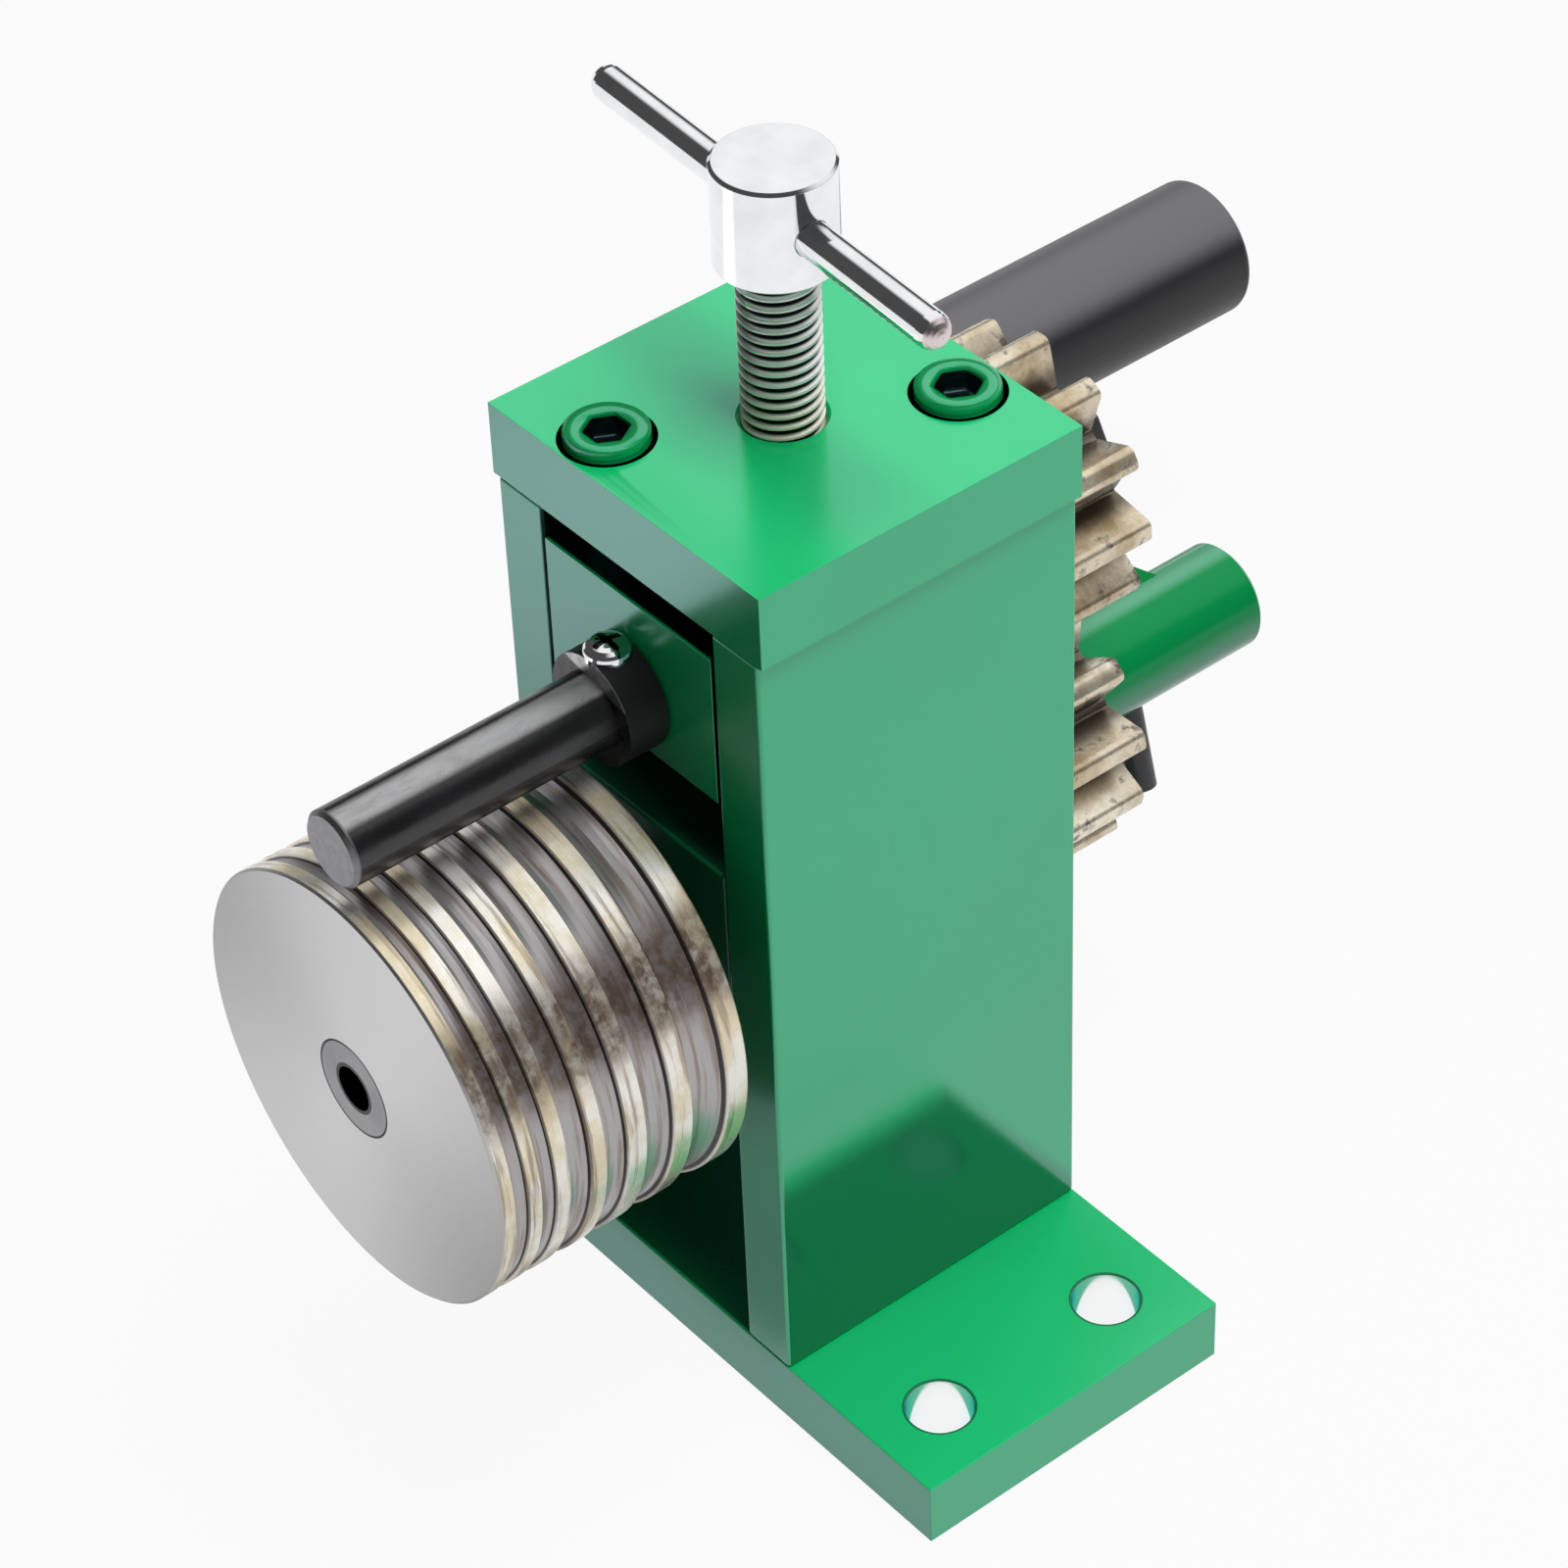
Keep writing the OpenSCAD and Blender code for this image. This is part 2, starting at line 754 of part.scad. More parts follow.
// Places its children along the clamp bolt, square to the crank arm
module clamp_direction() {
  translate([0, clamp_y, roller_z])
    rotate([0, 180 - crank_slope, 0])
      children();
}

groove_unit = roller_len / (total(ridge_shares) + total(groove_shares));

// Start of groove i, measured from the front of the roller
function groove_start(i) =
  groove_unit * (total([for (k = [0:i]) ridge_shares[k]])
    + total([for (k = [0:1:i - 1]) groove_shares[k]]));

// Outline of groove i: steep walls and a hollow floor
function groove(i) =
  let (
    w = groove_unit * groove_shares[i],
    depth = groove_depth + depth_share * w,
    wall = wall_share * w,
    floor_half = w / 2 - wall,
    hollow = depth / 4
  )
    concat(
      [[roller_r, groove_start(i)]],
      [for (k = [-2:2])
        [roller_r - depth + hollow * k * k / 4, groove_start(i) + w / 2 + floor_half * k / 2]],
      [[roller_r, groove_start(i) + w]]
    );

module grooved_roller() {
  c = rim_chamfer;
  rim = concat(
    [[0, 0], [roller_r - c, 0], [roller_r, c]],
    [for (i = [0:len(groove_shares) - 1]) each groove(i)],
    [[roller_r, roller_len - c], [roller_r - c, roller_len], [0, roller_len]]
  );
  color(steel)
    difference() {
      translate([0, roller_front, roller_z])
        rotate([-90, 0, 0])
          rotate_extrude($fn = 180)
            polygon(rim);
      lengthwise(roller_front - over, roller_back + over, roller_shaft_r + mounting_fit, 0, roller_z);
      box([-key_size / 2 - mounting_fit, roller_key_y - mounting_fit, roller_z],
          [key_size / 2 + mounting_fit, roller_back + over,
           roller_z + roller_shaft_r + key_size / 2 + mounting_fit]);
    }
}

module roller_key() {
  key(roller_z, roller_shaft_r, roller_key_y, roller_key_len);
}

module roller_spacer() {
  color(dark_steel)
    difference() {
      lengthwise(roller_back, spacer_back, spacer_dia / 2, 0, roller_z);
      lengthwise(roller_back - over, spacer_back + over, roller_shaft_r + mounting_fit, 0, roller_z);
    }
}

module lower_thrust_washer() {
  washer(roller_z, back + flange_thick + end_gap, flange_dia / 2, roller_shaft_r);
}

module lower_gear() {
  gear(roller_z, lower_turn, gear_seat_dia / 2);
}

module lower_gear_key() {
  key(roller_z, gear_seat_dia / 2, gear_key_y, gear_key_len);
}

// Crank

module crank_hub() {
  color(paint)
    difference() {
      chamfered_lengthwise(gear_back, hub_back, hub_r, shaft_chamfer, 0, roller_z);
      lengthwise(gear_back - over, shaft_end + mounting_fit, hub_seat_r + mounting_fit, 0, roller_z);
      clamp_direction()
        cylinder(r = clamp_r + mounting_fit, h = hub_dia);
    }
}

// Places its children in the plane of the crank: X along the arm, Z through it
module crank_plane() {
  translate([0, arm_rear, roller_z])
    rotate([90, 180 - crank_slope, 0])
      children();
}

module crank_arm() {
  color(paint)
    difference() {
      crank_plane() {
        translate([0, -arm_width / 2, 0])
          cube([crank_throw, arm_width, arm_thick]);
        translate([crank_throw, 0, 0])
          cylinder(d = arm_width, h = arm_thick);
      }
      lengthwise(arm_front - over, arm_rear + over, hub_r, 0, roller_z);
      lengthwise(arm_front - over, arm_rear + over, spindle_r + mounting_fit, grip_x(), grip_z());
    }
}

function grip_x() = -crank_throw * cos(crank_slope);
function grip_z() = roller_z - crank_throw * sin(crank_slope);

module clamp_bolt() {
  color(black)
    clamp_direction()
      translate([0, 0, hub_seat_r - clamp_bite])
        cylinder(r = clamp_r, h = hub_r + clamp_proud - hub_seat_r + clamp_bite);
}

module grip_spindle() {
  color(steel) {
    lengthwise(arm_front, head_front, spindle_r, grip_x(), grip_z());
    lengthwise(arm_rear, arm_rear + shoulder_thick, shoulder_dia / 2, grip_x(), grip_z());
    lengthwise(head_front, head_back, spindle_head_dia / 2, grip_x(), grip_z());
  }
}

module grip() {
  r = grip_round;
  near = [for (a = [0:15:90]) [grip_r - r + r * sin(a), r - r * cos(a)]];
  far = [for (a = [90:-15:0]) [grip_r - r + r * sin(a), grip_len - r + r * cos(a)]];
  color(black)
    difference() {
      translate([grip_x(), grip_front, grip_z()])
        rotate([-90, 0, 0])
          rotate_extrude()
            polygon(concat([[0, 0]], near, far, [[0, grip_len]]));
      lengthwise(grip_front - over, grip_back + over, spindle_r + running_fit, grip_x(), grip_z());
      lengthwise(head_front - end_gap, grip_back + over, head_room_r, grip_x(), grip_z());
    }
}

base_plate();
left_column();
right_column();
top_plate();
lower_block();
lower_front_bushing();
lower_rear_bushing();
upper_block();
upper_front_bushing();
upper_rear_bushing();
front_hanger_screw();
rear_hanger_screw();
left_lift_spring();
right_lift_spring();
pressure_screw();
screw_head();
tommy_bar();
upper_shaft();
shaft_collar();
collar_screw();
upper_thrust_washer();
upper_gear();
upper_gear_key();
upper_shaft_nut();
roller_shaft();
grooved_roller();
roller_key();
roller_spacer();
lower_thrust_washer();
lower_gear();
lower_gear_key();
crank_hub();
crank_arm();
clamp_bolt();
grip_spindle();
grip();
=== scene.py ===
import json
import math

import bmesh
import bpy
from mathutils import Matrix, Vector


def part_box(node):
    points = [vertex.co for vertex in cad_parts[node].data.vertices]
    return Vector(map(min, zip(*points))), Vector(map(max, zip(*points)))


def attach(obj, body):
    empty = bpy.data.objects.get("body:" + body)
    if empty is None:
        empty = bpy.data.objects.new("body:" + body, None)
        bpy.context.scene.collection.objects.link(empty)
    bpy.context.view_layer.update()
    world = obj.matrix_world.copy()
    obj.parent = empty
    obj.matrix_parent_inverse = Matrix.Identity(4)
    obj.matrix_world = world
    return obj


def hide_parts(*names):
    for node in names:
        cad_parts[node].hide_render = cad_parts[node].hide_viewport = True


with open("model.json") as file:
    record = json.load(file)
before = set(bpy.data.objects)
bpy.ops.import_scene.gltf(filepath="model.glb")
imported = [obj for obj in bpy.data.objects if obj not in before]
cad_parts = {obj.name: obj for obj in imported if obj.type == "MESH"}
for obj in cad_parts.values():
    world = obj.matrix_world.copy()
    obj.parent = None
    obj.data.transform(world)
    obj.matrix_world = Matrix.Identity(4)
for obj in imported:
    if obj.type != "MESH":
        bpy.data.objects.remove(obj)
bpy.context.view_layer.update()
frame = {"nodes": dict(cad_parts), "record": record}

nodes = frame["nodes"]


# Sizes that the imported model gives, in metres

MM = 0.001
# How far a mask reaches past the face or edge that it covers
HAIR, SLACK, MARGIN, HUB_MARGIN = 0.02 * MM, 0.05 * MM, 0.1 * MM, 1.0 * MM


def middle(low, high):
    """The middle between two corners of a box."""
    return (low + high) / 2


def upright_radius(low, high):
    """Half of a box's height, which is the radius of a bar along Y."""
    return (high.z - low.z) / 2


base_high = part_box("base_plate")[1]
column_in, column_out = (corner.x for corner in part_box("right_column"))
plate_low, plate_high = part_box("top_plate")
block_low, block_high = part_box("upper_block")

roller_low, roller_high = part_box("grooved_roller")
roller_z, roller_r = middle(roller_low, roller_high).z, upright_radius(roller_low, roller_high)
rod_low, rod_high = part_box("upper_shaft")
rod_z, rod_r = middle(rod_low, rod_high).z, upright_radius(rod_low, rod_high)
gear_r = upright_radius(*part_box("upper_gear"))
hub_low, hub_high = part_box("crank_hub")
hub_r, hub_front = upright_radius(hub_low, hub_high), hub_low.y - HUB_MARGIN
grip_low, grip_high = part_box("grip")
grip_middle, grip_r = middle(grip_low, grip_high), upright_radius(grip_low, grip_high)

collar_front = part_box("shaft_collar")[0].y + MARGIN
collar_screw_y = middle(*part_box("collar_screw")).y
press_low, press_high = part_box("pressure_screw")
bar_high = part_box("tommy_bar")[1]
cap_boxes = [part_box(screw) for screw in ("front_hanger_screw", "rear_hanger_screw")]
cap_axes = [middle(*box) for box in cap_boxes]
cap_low, cap_high = cap_boxes[-1]
cap_r = (cap_high.x - cap_low.x) / 2

# Sizes inside a piece, which its box doesn't give
BENCH_HOLE_R, BENCH_HOLE_X, BENCH_HOLE_Y = 4.4 * MM, 41.6 * MM, 14.1 * MM
BENCH_HOLES = [Vector((side * BENCH_HOLE_X, end * BENCH_HOLE_Y, 0))
               for side in (-1, 1) for end in (-1, 1)]
SOCKET_R = 3.25 * MM
SOCKET_RIM = cap_high.z - 0.35 * MM
SHAFT_R = 6.38 * MM
CENTRE_HOLE_R = 3.5 * MM
CROSS_REACH, CROSS_HALF = 1.9 * MM, 0.42 * MM
THREAD_PITCH, THREAD_CREST, THREAD_ROOT = 1.5 * MM, 5.0 * MM, 4.15 * MM
TIP_R, TIP_LENGTH = 3.5 * MM, 4.25 * MM


# Shader expressions

class Sock:
    """Wraps a node output, so that sums and products of values read as Python."""

    def __init__(self, maker, socket):
        self.maker = maker
        self.socket = socket

    def math(self, operation, *others):
        return self.maker.node("ShaderNodeMath", {"operation": operation}, self, *others)

    def __add__(self, other):
        return self.math("ADD", other)

    __radd__ = __add__

    def __mul__(self, other):
        return self.math("MULTIPLY", other)

    def __sub__(self, other):
        return self.math("SUBTRACT", other)

    def __rsub__(self, other):
        return self.maker.node("ShaderNodeMath", {"operation": "SUBTRACT"}, other, self)

    def __truediv__(self, other):
        return self.math("DIVIDE", other)

    def __gt__(self, other):
        return self.math("GREATER_THAN", other)

    def __lt__(self, other):
        return self.math("LESS_THAN", other)

    def __abs__(self):
        return self.math("ABSOLUTE")

    def up_to(self, other):
        """The greater of two values."""
        return self.math("MAXIMUM", other)


class Maker:
    """Adds nodes to one tree."""

    def __init__(self, tree):
        self.tree = tree

    def feed(self, socket, value):
        if isinstance(value, Sock):
            self.tree.links.new(value.socket, socket)
        else:
            socket.default_value = value

    def raw(self, kind, settings, *values, **named):
        node = self.tree.nodes.new(kind)
        for name, setting in settings.items():
            setattr(node, name, setting)
        for socket, value in zip(node.inputs, values):
            self.feed(socket, value)
        for name, value in named.items():
            self.feed(node.inputs[name.replace("_", " ")], value)
        return node

    def node(self, kind, settings, *values, out=0, **named):
        return Sock(self, self.raw(kind, settings, *values, **named).outputs[out])

    def outputs(self, kind, *names):
        """The named outputs of a node without inputs."""
        made = self.raw(kind, {})
        return [Sock(self, made.outputs[name]) for name in names]

    def smooth(self, value, low, high):
        """0 at low, 1 at high and an even curve between them; low may be the greater."""
        return self.node("ShaderNodeMapRange", {"interpolation_type": "SMOOTHSTEP"},
                         value, float(low), float(high), 0.0, 1.0)

    def spread(self, value, low, high, to_low=0.0, to_high=1.0):
        """Maps low to high straight onto to_low to to_high, and clamps."""
        return self.node("ShaderNodeMapRange", {}, value, float(low), float(high),
                         float(to_low), float(to_high))

    def mix(self, factor, first, second):
        """Mix of two colours; each is a colour or a node's output."""
        node = self.tree.nodes.new("ShaderNodeMix")
        node.data_type = "RGBA"
        self.feed(node.inputs["Factor"], factor)
        self.feed(node.inputs[6], first if isinstance(first, Sock) else (*first, 1))
        self.feed(node.inputs[7], second if isinstance(second, Sock) else (*second, 1))
        return Sock(self, node.outputs[2])

    def place(self):
        """Object coordinates, in metres, as a vector and its three parts."""
        vector = self.node("ShaderNodeTexCoord", {}, out=3)
        parts = self.raw("ShaderNodeSeparateXYZ", {}, vector)
        return [vector] + [Sock(self, out) for out in parts.outputs]

    def vector(self, x, y, z):
        return self.node("ShaderNodeCombineXYZ", {}, x, y, z)

    def noise(self, vector, scale, detail=2, rough=0.5):
        return self.node("ShaderNodeTexNoise", {}, Vector=vector, Scale=float(scale),
                         Detail=float(detail), Roughness=float(rough))

    def length(self, a, b):
        return (a * a + b * b).math("SQRT")

    def bump(self, height, distance, strength):
        return self.node("ShaderNodeBump", {}, Height=height, Distance=float(distance),
                         Strength=float(strength))


def grey(value):
    """A neutral colour."""
    return (value, value, value)


def material(name, build, **constants):
    """A Principled material; build(maker) gives what varies, constants what doesn't."""
    made = bpy.data.materials.new(name)
    made.use_nodes = True
    shader = made.node_tree.nodes["Principled BSDF"]
    maker = Maker(made.node_tree)
    for socket, value in constants.items():
        shader.inputs[socket.replace("_", " ")].default_value = value
    for socket, value in build(maker).items():
        maker.feed(shader.inputs[socket.replace("_", " ")], value)
    return made


# Masks

# Painted shade inside the frame: how far it stays behind the front and back faces, there and on
# the columns' inner edges, and how far it reaches to both sides of those edges
INSIDE_SETBACK, EDGE_SETBACK, EDGE_REACH = 0.4 * MM, 0.06 * MM, 0.5 * MM
# The right column mirrors the base up to this height above it, and less towards the back
MIRROR_HEIGHT, MIRROR_BACK_Y, MIRROR_SLOPE = 31 * MM, 2.8 * MM, 1.38
# The painted shade fades in from above the mirror's edge to below it
MIRROR_SHADE_START, MIRROR_SHADE_FULL = 3.5 * MM, -2.5 * MM
# Heights above the base between which the side gets smoother
SMOOTH_START, SMOOTH_FULL = 46 * MM, 34 * MM
# Where it mirrors a bench hole, and how far from there that shows
HOLE_IMAGE_Y, HOLE_IMAGE_HEIGHT = -2 * MM, 19.5 * MM
HOLE_IMAGE_START, HOLE_IMAGE_FULL = 9 * MM, 3 * MM
# Angles from +X of the lines where a bar gets a painted highlight
HUB_TOP_LINE, HUB_LOW_LINE, ROD_LINE, GRIP_LINE = 112, -30, 79, 80


def facing(x, z, degrees, radius):
    """Cosine of the angle between a point on a bar along Y and a line along the bar."""
    turn = math.radians(degrees)
    return (x * math.cos(turn) + z * math.sin(turn)) / radius


def cap_distance(m, x, y):
    """Distance from the nearer cap screw's axis."""
    first, second = [m.length(x - axis.x, y - axis.y) for axis in cap_axes]
    return first.math("MINIMUM", second)


def near_axes(m, x, y, axes, reach):
    """1 within reach of any of the upright axes, else 0."""
    inside = [m.length(x - axis.x, y - axis.y) < reach for axis in axes]
    joined = inside[0]
    for one in inside[1:]:
        joined = joined.up_to(one)
    return joined


def frame_shade_masks(x, y, z):
    """Painted shade inside the frame: between the columns, more so above the upper block, on the
    columns' edges beside it, and in front below it. The share of the part below the block is
    also given alone, because the paint is duller there."""
    above_base, below_plate = z > base_high.z, z < plate_low.z
    inside = ((abs(x) < column_in + SLACK) * (abs(y) < plate_high.y - INSIDE_SETBACK)
              * (z > base_high.z - SLACK) * (z < plate_low.z + SLACK))
    over_block = inside * (z > block_high.z - SLACK)
    beside = (((abs(x) - column_in).math("ABSOLUTE") < EDGE_REACH)
              * (abs(y) < plate_high.y - EDGE_SETBACK) * above_base * below_plate)
    shade_under_block = ((abs(x) < column_in) * (y < 0.0) * above_base * (z < block_low.z)) * 0.55
    shade_in_frame = inside * 0.72 + over_block * 0.26
    return shade_in_frame.up_to(beside * 0.95).up_to(shade_under_block), shade_under_block


def low_on_side(m, x, y, z):
    """The right column's outer face near the base: painted shade where the base is mirrored in it,
    and smoother there, except where the mirrored bench hole would show."""
    outside = x > column_out - SLACK
    above_base = z > base_high.z
    edge = base_high.z + MIRROR_HEIGHT - (y - MIRROR_BACK_Y).up_to(0.0) * MIRROR_SLOPE
    mirror_shade = m.smooth(z - edge, MIRROR_SHADE_START, MIRROR_SHADE_FULL) * above_base * outside * 0.92
    from_image = m.length(y - HOLE_IMAGE_Y, z - base_high.z - HOLE_IMAGE_HEIGHT)
    hole_image = m.smooth(from_image, HOLE_IMAGE_START, HOLE_IMAGE_FULL)
    low = m.smooth(z, base_high.z + SMOOTH_START, base_high.z + SMOOTH_FULL)
    mirror = low * above_base * outside * (1 - hole_image * 0.5)
    return mirror_shade, mirror


def hub_highlight_lines(m, x, y, z):
    """Two painted highlights along the crank's hub, as pale lines in the paint."""
    top = m.smooth(facing(x, z - roller_z, HUB_TOP_LINE, hub_r), 0.80, 0.93)
    low = m.smooth(facing(x, z - roller_z, HUB_LOW_LINE, hub_r), 0.70, 0.96)
    return top.up_to(low) * (y > hub_front) * (m.length(x, z - roller_z) < hub_r + MARGIN)


# Finishes

# Colours, in linear light
ENAMEL, LIGHT_ENAMEL = (0.0030, 0.515, 0.150), (0.0040, 0.560, 0.168)
DEEP_ENAMEL, MIRROR_SHADE_ENAMEL = (0.0008, 0.160, 0.028), (0.0006, 0.110, 0.021)
HUB_HIGHLIGHT_ENAMEL, FRAME_SHADE_ENAMEL = (0.13, 0.42, 0.25), (0.001, 0.008, 0.004)
HOLE_RIM_SHADE, SOCKET_AND_GAP_SHADE, BARE_METAL = (0.001, 0.030, 0.012), (0.003, 0.004, 0.004), grey(0.95)
GROOVE_STEEL, RIDGE_STEEL, WARM_STEEL = (0.45, 0.43, 0.435), (0.93, 0.91, 0.85), (0.80, 0.70, 0.50)
AGED_STEEL_AND_DARK_REFLECTION, GROOVE_WALL_SHADE = (0.22, 0.15, 0.11), (0.02, 0.018, 0.016)
FACE_STEEL, LIGHT_FACE, FAN_STEEL, RING_SHADE = grey(0.66), grey(0.71), grey(0.37), grey(0.03)
SHAFT_STEEL, LIGHT_SHAFT, CENTRE_HOLE_SHADE = (0.23, 0.23, 0.24), (0.31, 0.31, 0.32), grey(0.025)
GEAR_BROWN, GEAR_NICKEL, STAIN_AND_ROOT_SHADE = (0.50, 0.38, 0.23), (0.96, 0.88, 0.72), (0.085, 0.06, 0.04)
BLUED_STEEL, LIGHT_BLUED = (0.006, 0.006, 0.007), (0.012, 0.011, 0.013)
HIGHLIGHT_STEEL, ROD_END = (0.50, 0.50, 0.51), (0.26, 0.255, 0.265)
PLATING, LIGHT_PLATING, CROSS_SHADE = (0.80, 0.81, 0.83), (0.90, 0.91, 0.93), grey(0.02)
THREAD_STEEL, THREAD_BRASSY, THREAD_ROOT_SHADE = grey(0.92), (0.90, 0.80, 0.64), grey(0.015)
WORN_PLATING = (0.80, 0.70, 0.69)
BRONZE, LIGHT_BRONZE = (0.42, 0.26, 0.11), (0.56, 0.37, 0.17)
OXIDE, LIGHT_OXIDE = (0.016, 0.017, 0.019), (0.035, 0.036, 0.040)
RUBBER, RUBBER_LIT_TOP = (0.022, 0.022, 0.025), (0.155, 0.154, 0.164)


# Enamel: the painted shade round a bench hole's rim, the paint's skirt and the painted shade in
# the gap round a cap screw, and the rounding of its painted head
HOLE_LINE = 0.36 * MM
CAP_SKIRT, CAP_GAP, CAP_GAP_DEPTH = 0.15 * MM, 0.85 * MM, 0.12 * MM
DOME_MIDDLE, DOME_WIDTH, DOME_HEIGHT = 3.9 * MM, 0.9 * MM, 0.3 * MM


def green_paint(m):
    """Even enamel, deep on the hub, rounded over the cap screws and bare metal in the bench holes,
    with painted shade inside the frame, low on the right column's side, round the bench holes'
    rims, in the hex sockets and round the caps, and painted highlights along the hub."""
    at, x, y, z = m.place()
    on_top, below_plate = z > plate_low.z, z < plate_low.z
    tone = m.smooth(m.noise(at, scale=28, detail=3), 0.2, 0.8)
    bare = near_axes(m, x, y, BENCH_HOLES, BENCH_HOLE_R + HAIR) * below_plate
    hole_rim_shade = near_axes(m, x, y, BENCH_HOLES, BENCH_HOLE_R + HOLE_LINE) * below_plate
    socket = near_axes(m, x, y, cap_axes, SOCKET_R) * on_top * (z < SOCKET_RIM)
    from_cap = cap_distance(m, x, y)
    cap = (from_cap < cap_r + CAP_SKIRT) * (z > plate_high.z + MARGIN)
    cap_gap = ((from_cap > cap_r - MARGIN) * (from_cap < cap_r + CAP_GAP)
               * (z < plate_high.z - CAP_GAP_DEPTH) * on_top)
    hub = (y > hub_front) * 0.75
    frame_shade, shade_under_block = frame_shade_masks(x, y, z)
    mirror_shade, mirror = low_on_side(m, x, y, z)

    colour = m.mix(tone, ENAMEL, LIGHT_ENAMEL)
    for amount, tint in (
            (hub.up_to(cap * 0.55), DEEP_ENAMEL),
            # painted shade low on the right column's side, where the base is mirrored
            (mirror_shade, MIRROR_SHADE_ENAMEL),
            # painted highlights along the hub
            (hub_highlight_lines(m, x, y, z) * 0.85, HUB_HIGHLIGHT_ENAMEL),
            # painted shade inside the frame, beside the upper block and below it
            (frame_shade, FRAME_SHADE_ENAMEL),
            # painted shade round the bench holes' rims
            (hole_rim_shade * 0.8, HOLE_RIM_SHADE),
            # painted shade in the hex sockets and in the gaps round the caps
            (socket.up_to(cap_gap), SOCKET_AND_GAP_SHADE),
            (bare, BARE_METAL)):
        colour = m.mix(amount, colour, tint)

    painted = (0.24 + tone * 0.04 - on_top * 0.05 - hub * 0.10 - cap * 0.07 - mirror * 0.13
               + shade_under_block * 0.5)
    dome = (from_cap - DOME_MIDDLE) / DOME_WIDTH
    return {
        "Base_Color": colour,
        "Metallic": bare,
        "Roughness": painted * (1 - bare) + bare * 0.12,
        "Normal": m.bump((1 - dome * dome) * cap, distance=DOME_HEIGHT, strength=1.0),
    }


# Roller: depths below the ridges' tops where the worn steel and the painted shade in the grooves
# start and are full, how far the flat front's finish reaches back and fades, the ring of painted
# shade round the shaft, where the painted dark reflection lies, and the direction of the fan of
# light
RIM_START, RIM_FULL, FOOT_START, FOOT_FULL = 0.35 * MM, 0.1 * MM, 0.30 * MM, 0.42 * MM
FRONT_REACH, FRONT_FADE = 0.4 * MM, 0.2 * MM
RING_START, RING_FULL = 0.35 * MM, 0.20 * MM
PATCH_ANGLE, PATCH_START, PATCH_FULL = 0.60, 0.34, 0.10
FAN_X, FAN_Z = -0.866, 0.5


def roller_metal(m):
    """Turned steel: fine rings, painted shade at the foot of the grooves' walls, warm worn ridges,
    brown stains and a painted dark-brown reflection.
    """
    at, x, y, z = m.place()
    up = z - roller_z
    radius = m.length(x, up)
    rings = m.noise(m.vector(0.0, y * 9000, radius * 9000), scale=1, detail=3, rough=0.6)
    streaks = m.noise(m.vector(x * 60, y * 900, z * 60), scale=1, detail=4, rough=0.6)
    rim = m.smooth(radius, roller_r - RIM_START, roller_r - RIM_FULL)
    face = m.smooth(roller_low.y + FRONT_REACH - y, 0.0, FRONT_FADE)

    # Round surface
    warm = m.smooth(m.noise(at, scale=110, detail=5, rough=0.65), 0.40, 0.60) * rim
    steel = m.mix(rim, GROOVE_STEEL, RIDGE_STEEL)
    tinted = m.mix(warm, steel, WARM_STEEL)
    # Painted dark-brown reflection: a mottled band across the ridges at one angle round the roller
    from_patch = abs(up.math("ARCTAN2", x) - PATCH_ANGLE)
    dark_reflection = m.smooth(from_patch, PATCH_START, PATCH_FULL) * m.spread(streaks, 0.3, 0.6, 0.60, 1.0)
    mottled = m.spread(m.noise(at, scale=420, detail=5, rough=0.7), 0.40, 0.56, 0.35, 1.0)
    brown = m.smooth(streaks, 0.50, 0.66) * 0.65
    aged_and_reflection = m.mix(brown.up_to(dark_reflection * mottled), tinted, AGED_STEEL_AND_DARK_REFLECTION)
    # Painted shade on the grooves' walls, near their foot
    normal = m.node("ShaderNodeNewGeometry", {}, out=1)
    normal_y = m.node("ShaderNodeSeparateXYZ", {}, normal, out=1)
    wall = m.smooth(abs(normal_y), 0.35, 0.6) * (1 - face)
    foot = m.smooth(radius, roller_r - FOOT_START, roller_r - FOOT_FULL)
    surface = m.mix(wall * foot * 0.9, aged_and_reflection, GROOVE_WALL_SHADE)

    # Flat front, with a fan of light across it and a narrow ring of painted shade round the shaft
    cloud = m.spread(m.noise(at, scale=22, detail=2), 0.35, 0.65)
    across = (x * FAN_X + up * FAN_Z).math("POWER", 2.0) / radius / roller_r
    fanned = m.mix(across * 0.85, m.mix(cloud, FACE_STEEL, LIGHT_FACE), FAN_STEEL)
    ring = m.smooth(radius, SHAFT_R + RING_START, SHAFT_R + RING_FULL)
    front = m.mix(ring, fanned, RING_SHADE)
    return {
        "Base_Color": m.mix(face, surface, front),
        "Metallic": (0.76 - rim * 0.20) * (1 - face) + face,
        "Roughness": m.spread(rings, 0.3, 0.7, 0.19, 0.30) + face * 0.20 + (1 - rim) * 0.08,
        "Normal": m.bump(rings, distance=0.012 * MM, strength=0.6),
    }


def turned_steel(m):
    """Bright machined steel with fine rings round Y and painted shade in its centre hole."""
    at, x, y, z = m.place()
    radius = m.length(x, z - roller_z)
    rings = m.noise(m.vector(0.0, y * 7000, radius * 7000), scale=1, detail=3, rough=0.6)
    stain = m.spread(m.noise(at, scale=160, detail=3), 0.3, 0.7)
    plain = m.mix(stain, SHAFT_STEEL, LIGHT_SHAFT)
    # Painted shade in the centre hole of the front end
    hole_shade = (radius < CENTRE_HOLE_R) * (y < 0.0)
    return {
        "Base_Color": m.mix(hole_shade, plain, CENTRE_HOLE_SHADE),
        "Roughness": m.spread(rings, 0.3, 0.7, 0.28, 0.42),
        "Normal": m.bump(rings, distance=0.01 * MM, strength=0.5),
    }


# Gears: depths below the teeth's tips where the painted shade between the teeth starts and is full
ROOT_SHADE_START, ROOT_SHADE_FULL = 1.8 * MM, 5.2 * MM


